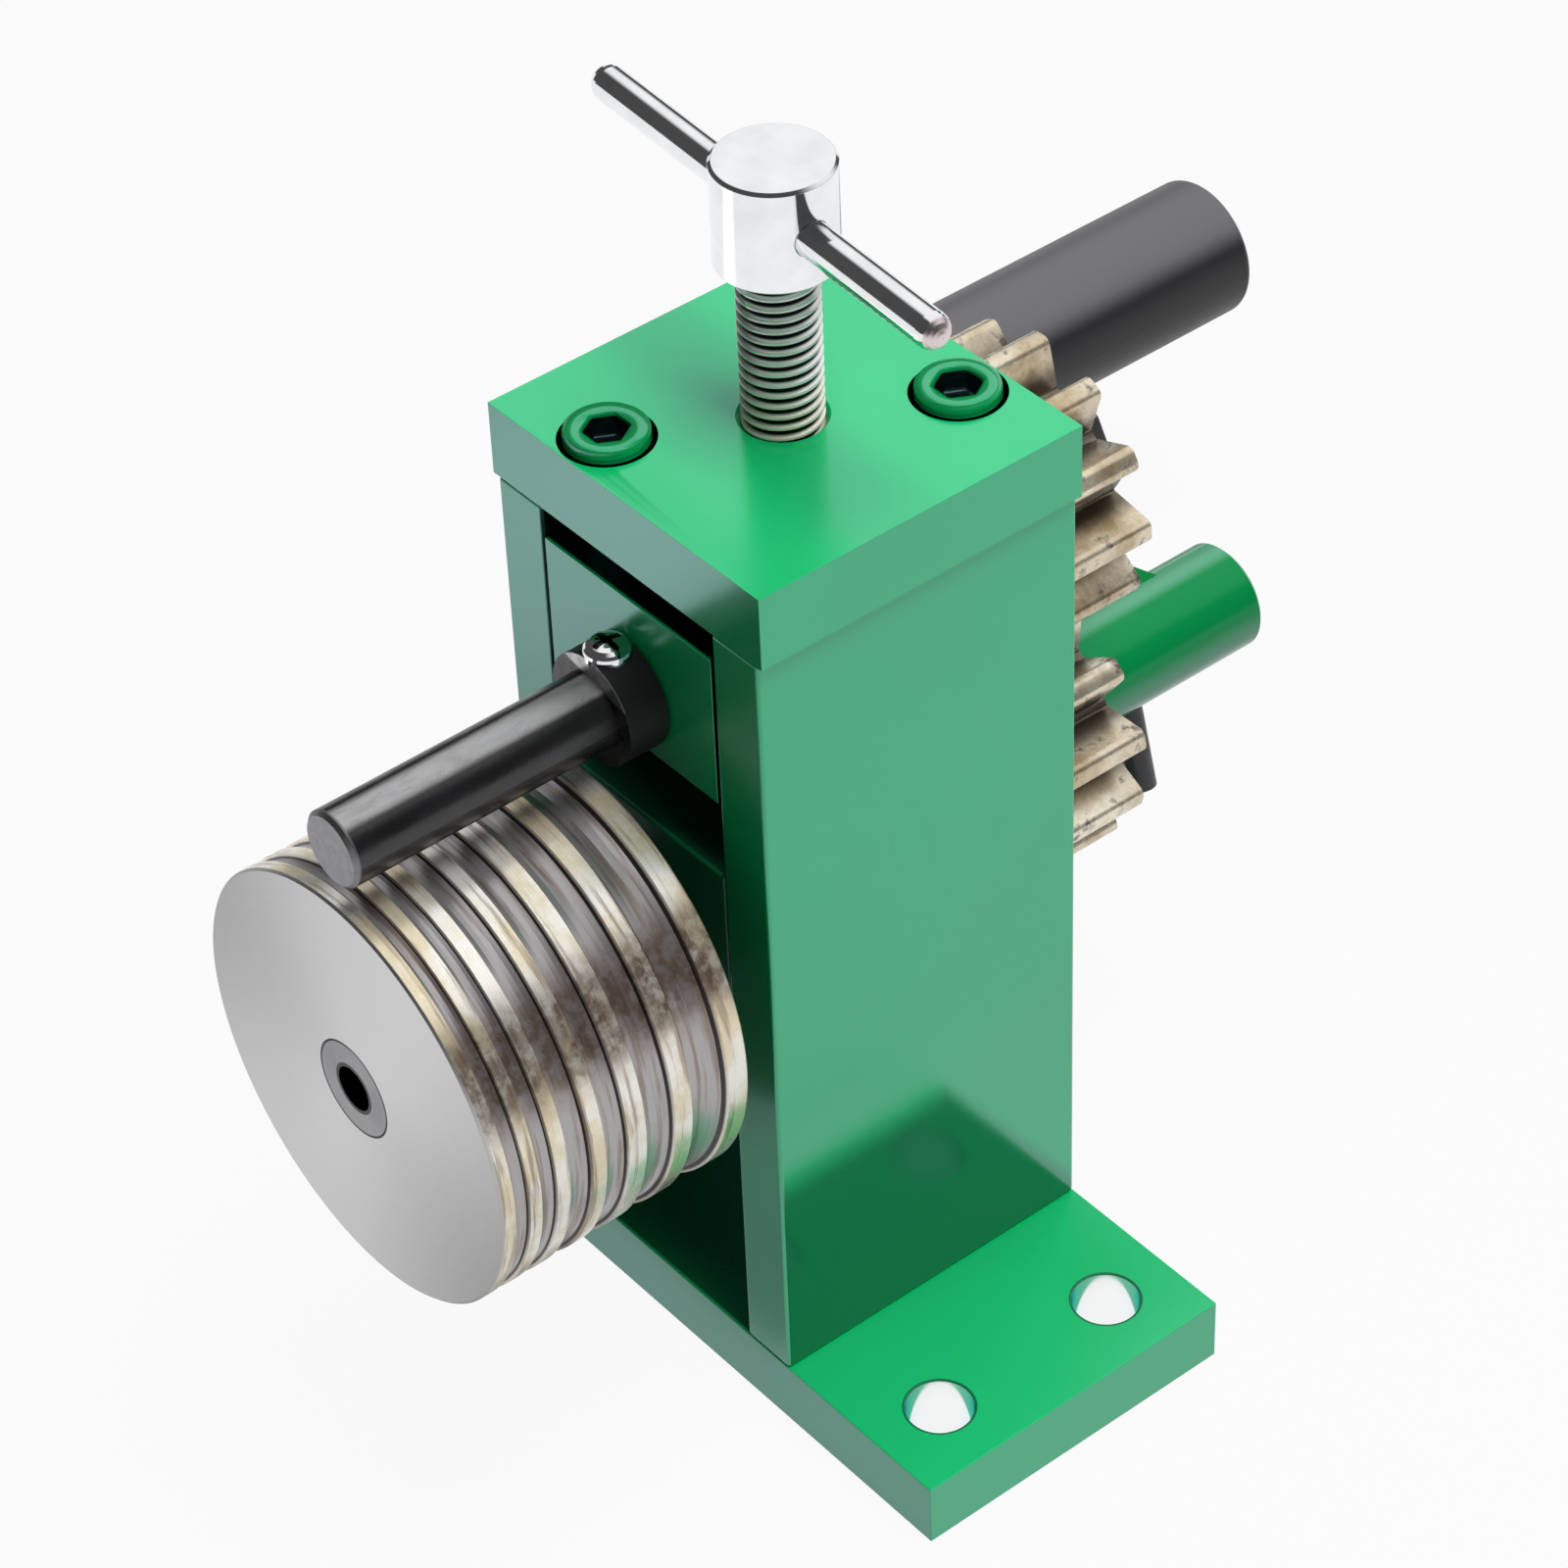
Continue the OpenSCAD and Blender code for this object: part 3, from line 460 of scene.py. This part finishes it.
def gear_metal(m):
    """Nickel-brown cast steel, blotched and stained, with painted shade in the roots between the
    teeth.
    """
    at, x, y, z = m.place()
    blotch = m.spread(m.noise(at, scale=130, detail=5, rough=0.65), 0.36, 0.62)
    grain = m.noise(at, scale=900, detail=3, rough=0.6)
    stain = m.smooth(m.noise(at, scale=260, detail=4, rough=0.7), 0.52, 0.68) * 0.85
    base = m.mix(blotch, GEAR_BROWN, GEAR_NICKEL)
    # Painted shade in the roots between the teeth
    from_axis = m.length(x, z - rod_z).math("MINIMUM", m.length(x, z - roller_z))
    tooth_root_shade = m.smooth(from_axis, gear_r - ROOT_SHADE_START, gear_r - ROOT_SHADE_FULL) * 0.85
    return {
        "Base_Color": m.mix(stain.up_to(tooth_root_shade), base, STAIN_AND_ROOT_SHADE),
        "Roughness": m.spread(grain, 0.3, 0.7, 0.22, 0.38),
        "Normal": m.bump(grain, distance=0.04 * MM, strength=0.7),
    }


# Rod: how far the finish of its front end reaches back and fades
END_REACH, END_FADE = 0.9 * MM, 0.3 * MM


def gunmetal(m):
    """Dark blued steel, with a painted highlight along one line of the rod."""
    at, x, y, z = m.place()
    cloud = m.spread(m.noise(at, scale=120, detail=4, rough=0.6), 0.3, 0.7)
    grain = m.noise(m.vector(x * 900, y * 250, z * 900), scale=1, detail=3, rough=0.6)
    end = m.smooth(rod_low.y + END_REACH - y, 0.0, END_FADE)
    behind = y > collar_front
    # Painted highlight along one line of the rod, streaky, in front of the collar
    line = m.smooth(facing(x, z - rod_z, ROD_LINE, rod_r), 0.90, 0.985)
    rod_highlight = line * (y < collar_front) * (1 - end) * m.spread(grain, 0.3, 0.7, 0.6, 1.0)
    black = m.mix(cloud, BLUED_STEEL, LIGHT_BLUED)
    highlighted = m.mix(rod_highlight, black, HIGHLIGHT_STEEL)
    return {
        "Base_Color": m.mix(end, highlighted, ROD_END),
        "Metallic": end.up_to(rod_highlight),
        "Roughness": m.spread(grain, 0.3, 0.7, 0.24, 0.36) + end * 0.20 + behind * 0.2,
        "Normal": m.bump(grain, distance=0.04 * MM, strength=0.7),
    }


# Pressure screw: heights above the top plate between which the thread turns brassy, and radii
# between which its roots get painted shade; tommy bar: how far from its right end the wear starts
BRASSY_START, BRASSY_FULL = 9 * MM, 2 * MM
ROOT_START, ROOT_FULL = 4.72 * MM, 4.45 * MM
WORN_START, WORN_FULL = 1.5 * MM, 1.1 * MM


def chrome(m):
    """Bright plating, a little hazy; the thread is duller with painted shade in its roots, the
    tommy bar's right end is worn, and the collar screw's cross recess has painted shade."""
    at, x, y, z = m.place()
    haze = m.noise(at, scale=240, detail=3)
    beside = y - collar_screw_y
    # Painted shade in the collar screw's cross recess
    arm = (abs(x) < CROSS_HALF).up_to(abs(beside) < CROSS_HALF)
    cross = arm * (m.length(x, beside) < CROSS_REACH) * (z < press_low.z)
    plating = m.mix(m.spread(haze, 0.3, 0.7), PLATING, LIGHT_PLATING)
    from_screw = m.length(x, y)
    thread = (from_screw < THREAD_CREST + MARGIN) * (z < press_high.z) * (z > press_low.z)
    brassy = m.smooth(z, plate_high.z + BRASSY_START, plate_high.z + BRASSY_FULL)
    steel = m.mix(brassy * 0.6, THREAD_STEEL, THREAD_BRASSY)
    # Painted shade in the thread's roots
    thread_shade = m.smooth(from_screw, ROOT_START, ROOT_FULL)
    threaded = m.mix(thread, plating, m.mix(thread_shade, steel, THREAD_ROOT_SHADE))
    worn = m.smooth(x, bar_high.x - WORN_START, bar_high.x - WORN_FULL)
    bright = m.mix(worn, threaded, WORN_PLATING)
    return {
        "Base_Color": m.mix(cross, bright, CROSS_SHADE),
        "Metallic": 1 - thread * 0.62,
        "Roughness": m.spread(haze, 0.3, 0.7, 0.06, 0.12) + thread * 0.14 + worn * 0.3,
    }


def bronze(m):
    """Plain bearing bronze."""
    at = m.place()[0]
    tone = m.noise(at, scale=300, detail=3)
    return {
        "Base_Color": m.mix(m.spread(tone, 0.3, 0.7), BRONZE, LIGHT_BRONZE),
        "Roughness": m.spread(tone, 0.3, 0.7, 0.28, 0.42),
    }


def black_oxide(m):
    """Blackened steel of small screws and nuts."""
    at = m.place()[0]
    tone = m.noise(at, scale=700, detail=3)
    return {
        "Base_Color": m.mix(tone, OXIDE, LIGHT_OXIDE),
        "Roughness": m.spread(tone, 0.3, 0.7, 0.34, 0.50),
        "Normal": m.bump(tone, distance=0.02 * MM, strength=0.4),
    }


def grip_rubber(m):
    """Matte black moulded grip with a fine grain, and painted light on its upper side."""
    at, x, y, z = m.place()
    grain = m.noise(at, scale=1500, detail=2)
    wear = m.noise(at, scale=45, detail=3)
    # Painted light on the upper side, varied a little
    towards = facing(x - grip_middle.x, z - grip_middle.z, GRIP_LINE, grip_r)
    upper = m.smooth(towards, 0.60, 0.86)
    lit_top = upper * (wear * 0.2 + 0.9)
    return {
        "Base_Color": m.mix(lit_top, RUBBER, RUBBER_LIT_TOP),
        "Roughness": m.spread(wear, 0.3, 0.7, 0.36, 0.42) + grain * 0.05,
        "Normal": m.bump(grain, distance=0.02 * MM, strength=0.35),
    }


GREEN_SHEEN = (0.5, 0.95, 1.0, 1)
FINISHES = {
    "green_paint": material("green_paint", green_paint, IOR=2.25, Specular_Tint=GREEN_SHEEN),
    "hub_paint": material("hub_paint", green_paint, IOR=1.4, Specular_Tint=GREEN_SHEEN),
    "roller_steel": material("roller_steel", roller_metal, Anisotropic=0.5),
    "bright_steel": material("bright_steel", turned_steel, Metallic=1.0),
    "gear_steel": material("gear_steel", gear_metal, Metallic=0.72),
    "dark_steel": material("dark_steel", gunmetal, IOR=1.6),
    "collar_black": material("collar_black", gunmetal, IOR=1.4),
    "chrome": material("chrome", chrome),
    "bronze": material("bronze", bronze, Metallic=1.0),
    "black_oxide": material("black_oxide", black_oxide, Specular_IOR_Level=0.6),
    "grip_black": material("grip_black", grip_rubber, Specular_IOR_Level=0.4),
}
SLOT_OF = {part["node"]: part["material_slot"] for part in frame["record"]["subparts"]}
BODY_OF = {node: body for body, members in frame["record"]["behaviour"]["bodies"].items()
           for node in members}


# Pieces

SHARP_ANGLE = math.radians(28)
BEVEL_ANGLE = math.radians(35)
FLAT_ANGLE = math.radians(0.4)
WELD = 1e-6
POLE_WELD = 1e-7


def link(name, data):
    """Adds an object to the scene."""
    made = bpy.data.objects.new(name, data)
    bpy.context.scene.collection.objects.link(made)
    return made


def mesh_of(name, bm):
    """Turns a bmesh into a mesh."""
    mesh = bpy.data.meshes.new(name)
    bm.to_mesh(mesh)
    bm.free()
    return mesh


def add_piece(name, bm, node, finish=None):
    """Makes an object of a bmesh that stands in place of a node."""
    mesh = mesh_of(name, bm)
    mesh.polygons.foreach_set("use_smooth", [True] * len(mesh.polygons))
    mesh.set_sharp_from_angle(angle=SHARP_ANGLE)
    piece = link(name, mesh)
    mesh.materials.append(FINISHES[finish or SLOT_OF[node]])
    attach(piece, BODY_OF[node])
    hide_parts(node)
    return piece


def rounded(node, width, segments=3, finish=None):
    """A copy of a node's own shape with its sharp edges rounded, in place of the node."""
    bm = bmesh.new()
    bm.from_mesh(nodes[node].data)
    bmesh.ops.remove_doubles(bm, verts=bm.verts, dist=WELD)
    bmesh.ops.dissolve_limit(bm, angle_limit=FLAT_ANGLE, verts=bm.verts, edges=bm.edges)
    bevel = add_piece(node + "_rounded", bm, node, finish).modifiers.new("edges", "BEVEL")
    bevel.width = width
    bevel.segments = segments
    bevel.limit_method = "ANGLE"
    bevel.angle_limit = BEVEL_ANGLE
    bevel.harden_normals = True
    bevel.use_clamp_overlap = True


def spin(bm, points, turns, steps, rise, merge):
    """Spins an open outline of (radius, height) points round Z."""
    verts = [bm.verts.new((r, 0, h)) for r, h in points]
    edges = [bm.edges.new(pair) for pair in zip(verts, verts[1:])]
    bmesh.ops.spin(bm, geom=verts + edges, axis=(0, 0, 1), cent=(0, 0, 0),
                   angle=math.tau * turns, dvec=(0, 0, rise), steps=steps, use_merge=merge)


def threaded_screw():
    """Pressure screw with its real thread: a core, a helical ridge and a plain tip."""
    tip, start, top = press_low.z, press_low.z + TIP_LENGTH, press_high.z
    chamfer = 0.3 * MM
    per_turn = 64
    bm = bmesh.new()
    spin(bm, [(0, tip), (TIP_R - chamfer, tip), (TIP_R, tip + chamfer), (TIP_R, start),
              (THREAD_ROOT, start), (THREAD_ROOT, top), (0, top)],
         turns=1, steps=per_turn, rise=0, merge=True)
    bmesh.ops.remove_doubles(bm, verts=bm.verts, dist=POLE_WELD)
    bmesh.ops.recalc_face_normals(bm, faces=bm.faces)
    # The ridge's section: radius, and height as a share of the pitch
    shoulder = THREAD_CREST - 0.05 * MM
    shares = [(THREAD_ROOT, 0.0), (THREAD_ROOT, 0.12), (shoulder, 0.42), (THREAD_CREST, 0.48),
              (THREAD_CREST, 0.62), (shoulder, 0.68), (THREAD_ROOT, 0.98)]
    turns = int((top - start) / THREAD_PITCH) - 1
    spin(bm, [(r, start + share * THREAD_PITCH) for r, share in shares],
         turns=turns, steps=per_turn * turns, rise=THREAD_PITCH / per_turn, merge=False)
    bmesh.ops.recalc_face_normals(bm, faces=bm.faces)
    add_piece("pressure_screw_threaded", bm, "pressure_screw")


PLATE_EDGE, CRANK_EDGE, CAP_EDGE, METAL_EDGE = 0.55 * MM, 0.4 * MM, 0.65 * MM, 0.25 * MM
for node in ("base_plate", "left_column", "right_column", "top_plate", "lower_block",
             "upper_block"):
    rounded(node, PLATE_EDGE)
for node in ("crank_arm", "crank_hub"):
    rounded(node, CRANK_EDGE, finish="hub_paint")
for node in ("front_hanger_screw", "rear_hanger_screw"):
    rounded(node, CAP_EDGE, segments=4)
threaded_screw()
for node in ("upper_gear", "lower_gear", "screw_head", "upper_shaft_nut"):
    rounded(node, METAL_EDGE, segments=2)
rounded("shaft_collar", METAL_EDGE, segments=2, finish="collar_black")

# Every node that keeps its own shape gets its finish
for node, shape in nodes.items():
    shape.data.materials.clear()
    shape.data.materials.append(FINISHES[SLOT_OF[node]])


# Camera, fitted to the straight edges in the photograph

LENS, SENSOR = 118.936, 36
NEAREST, FARTHEST = 0.01, 20
CAMERA_PLACE = (381.944 * MM, -300.405 * MM, 493.409 * MM)
CAMERA_TURN = (0.8632183, 0.0326012, 0.8800628)

camera_data = bpy.data.cameras.new("camera")
camera_data.lens = LENS
camera_data.sensor_width = SENSOR
camera_data.clip_start = NEAREST
camera_data.clip_end = FARTHEST
camera = link("camera", camera_data)
camera.location = CAMERA_PLACE
camera.rotation_euler = CAMERA_TURN
bpy.context.scene.camera = camera


# Floor

WHITE = (1, 1, 1, 1)
FLOOR_HALF = 6
# Zones of the floor, in mm: where a change starts, is full from and to, and ends
DIMMED_X, DIMMED_Y = (20, 10, -30, -45), (-29, -33, -70, -90)
BRIGHTER_X, BRIGHTER_Y = (-100, -122, -165, -200), (-85, -105)
DIMMED_BY, BRIGHTER_BY, HOLE_DIMMING = 0.6, 0.7, (0.86, 0.46, 0.66)


def between(m, value, start, full_from, full_to, end):
    """1 between the two full values, in mm, falling to 0 at start and at end."""
    return (m.smooth(value, start * MM, full_from * MM)
            * m.smooth(value, end * MM, full_to * MM))


floor_bm = bmesh.new()
bmesh.ops.create_grid(floor_bm, x_segments=1, y_segments=1, size=FLOOR_HALF)
floor = link("floor", mesh_of("floor", floor_bm))
floor_material = bpy.data.materials.new("floor_white")
floor_material.use_nodes = True
floor_material.node_tree.nodes.clear()
m = Maker(floor_material.node_tree)
floor_x, floor_y = m.place()[1:3]
by_camera, by_glossy, by_transmission, mirrorings = m.outputs(
    "ShaderNodeLightPath", "Is Camera Ray", "Is Glossy Ray", "Is Transmission Ray",
    "Glossy Depth")
# Reflections see a painted shadow on the floor in front of the frame, below the roller, and in a
# bench hole that is itself seen in a reflection; they see painted light on it far out to the left
dimmed = between(m, floor_x, *DIMMED_X) * between(m, floor_y, *DIMMED_Y)
brighter = (between(m, floor_x, *BRIGHTER_X)
            * m.smooth(floor_y, *(y * MM for y in BRIGHTER_Y)))
in_holes = (mirrorings > 1.5) * (abs(floor_x) < base_high.x) * (abs(floor_y) < base_high.y)
changes = [brighter * BRIGHTER_BY - dimmed * DIMMED_BY - in_holes * share
           for share in HOLE_DIMMING]
seen = m.vector(*(1 + by_glossy * change for change in changes))
matte = m.node("ShaderNodeBsdfDiffuse", {}, Color=(*grey(0.26), 1))
white = m.node("ShaderNodeEmission", {}, Color=seen, Strength=1.06)
# White for camera, glossy and transmission rays, matte for light that falls on the object
directly = by_camera.up_to(by_glossy).up_to(by_transmission)
blend = m.node("ShaderNodeMixShader", {}, directly * 0.88, matte, white)
m.raw("ShaderNodeOutputMaterial", {}, blend)
floor.data.materials.append(floor_material)


# Sky

# It is bright towards the upper back, between these cosines from its brightest direction, and
# dim on the other sides; what isn't mirrored gets less of its light
BRIGHTEST = Vector((-0.12, 0.52, 0.845)).normalized()
SKY_START, SKY_FULL, DIM_SKY, UNMIRRORED_SKY = 0.64, 0.80, 0.07, 0.7

world = bpy.data.worlds.new("studio")
world.use_nodes = True
world.node_tree.nodes.clear()
bpy.context.scene.world = world
m = Maker(world.node_tree)
toward = m.node("ShaderNodeTexCoord", {}, out=0)
bright = m.node("ShaderNodeVectorMath", {"operation": "DOT_PRODUCT"}, toward, BRIGHTEST, out=1)
by_camera, by_glossy = m.outputs("ShaderNodeLightPath", "Is Camera Ray", "Is Glossy Ray")
sky = ((m.smooth(bright, SKY_START, SKY_FULL) * (1 - DIM_SKY) + DIM_SKY)
       * (by_glossy * (1 - UNMIRRORED_SKY) + UNMIRRORED_SKY))
background = m.node("ShaderNodeBackground", {}, Color=WHITE,
                    Strength=by_camera + sky * (1 - by_camera))
m.raw("ShaderNodeOutputWorld", {}, background)


# Lamps

LAMP_TARGET = Vector((0, 0, 0.08))


def lamp(name, place, side, power):
    """A square lamp that points at the middle of the mill and isn't mirrored."""
    data = bpy.data.lights.new(name, "AREA")
    data.shape = "RECTANGLE"
    data.size = side
    data.size_y = side
    data.energy = power
    lit = link(name, data)
    lit.location = place
    lit.rotation_euler = (LAMP_TARGET - Vector(place)).to_track_quat("-Z", "Y").to_euler()
    lit.visible_glossy = False


lamp("key", (0.20, 0.08, 0.93), side=0.4, power=5.6)
lamp("side", (0.75, -0.05, 0.35), side=0.3, power=1.2)

bpy.context.scene.view_settings.view_transform = "Standard"
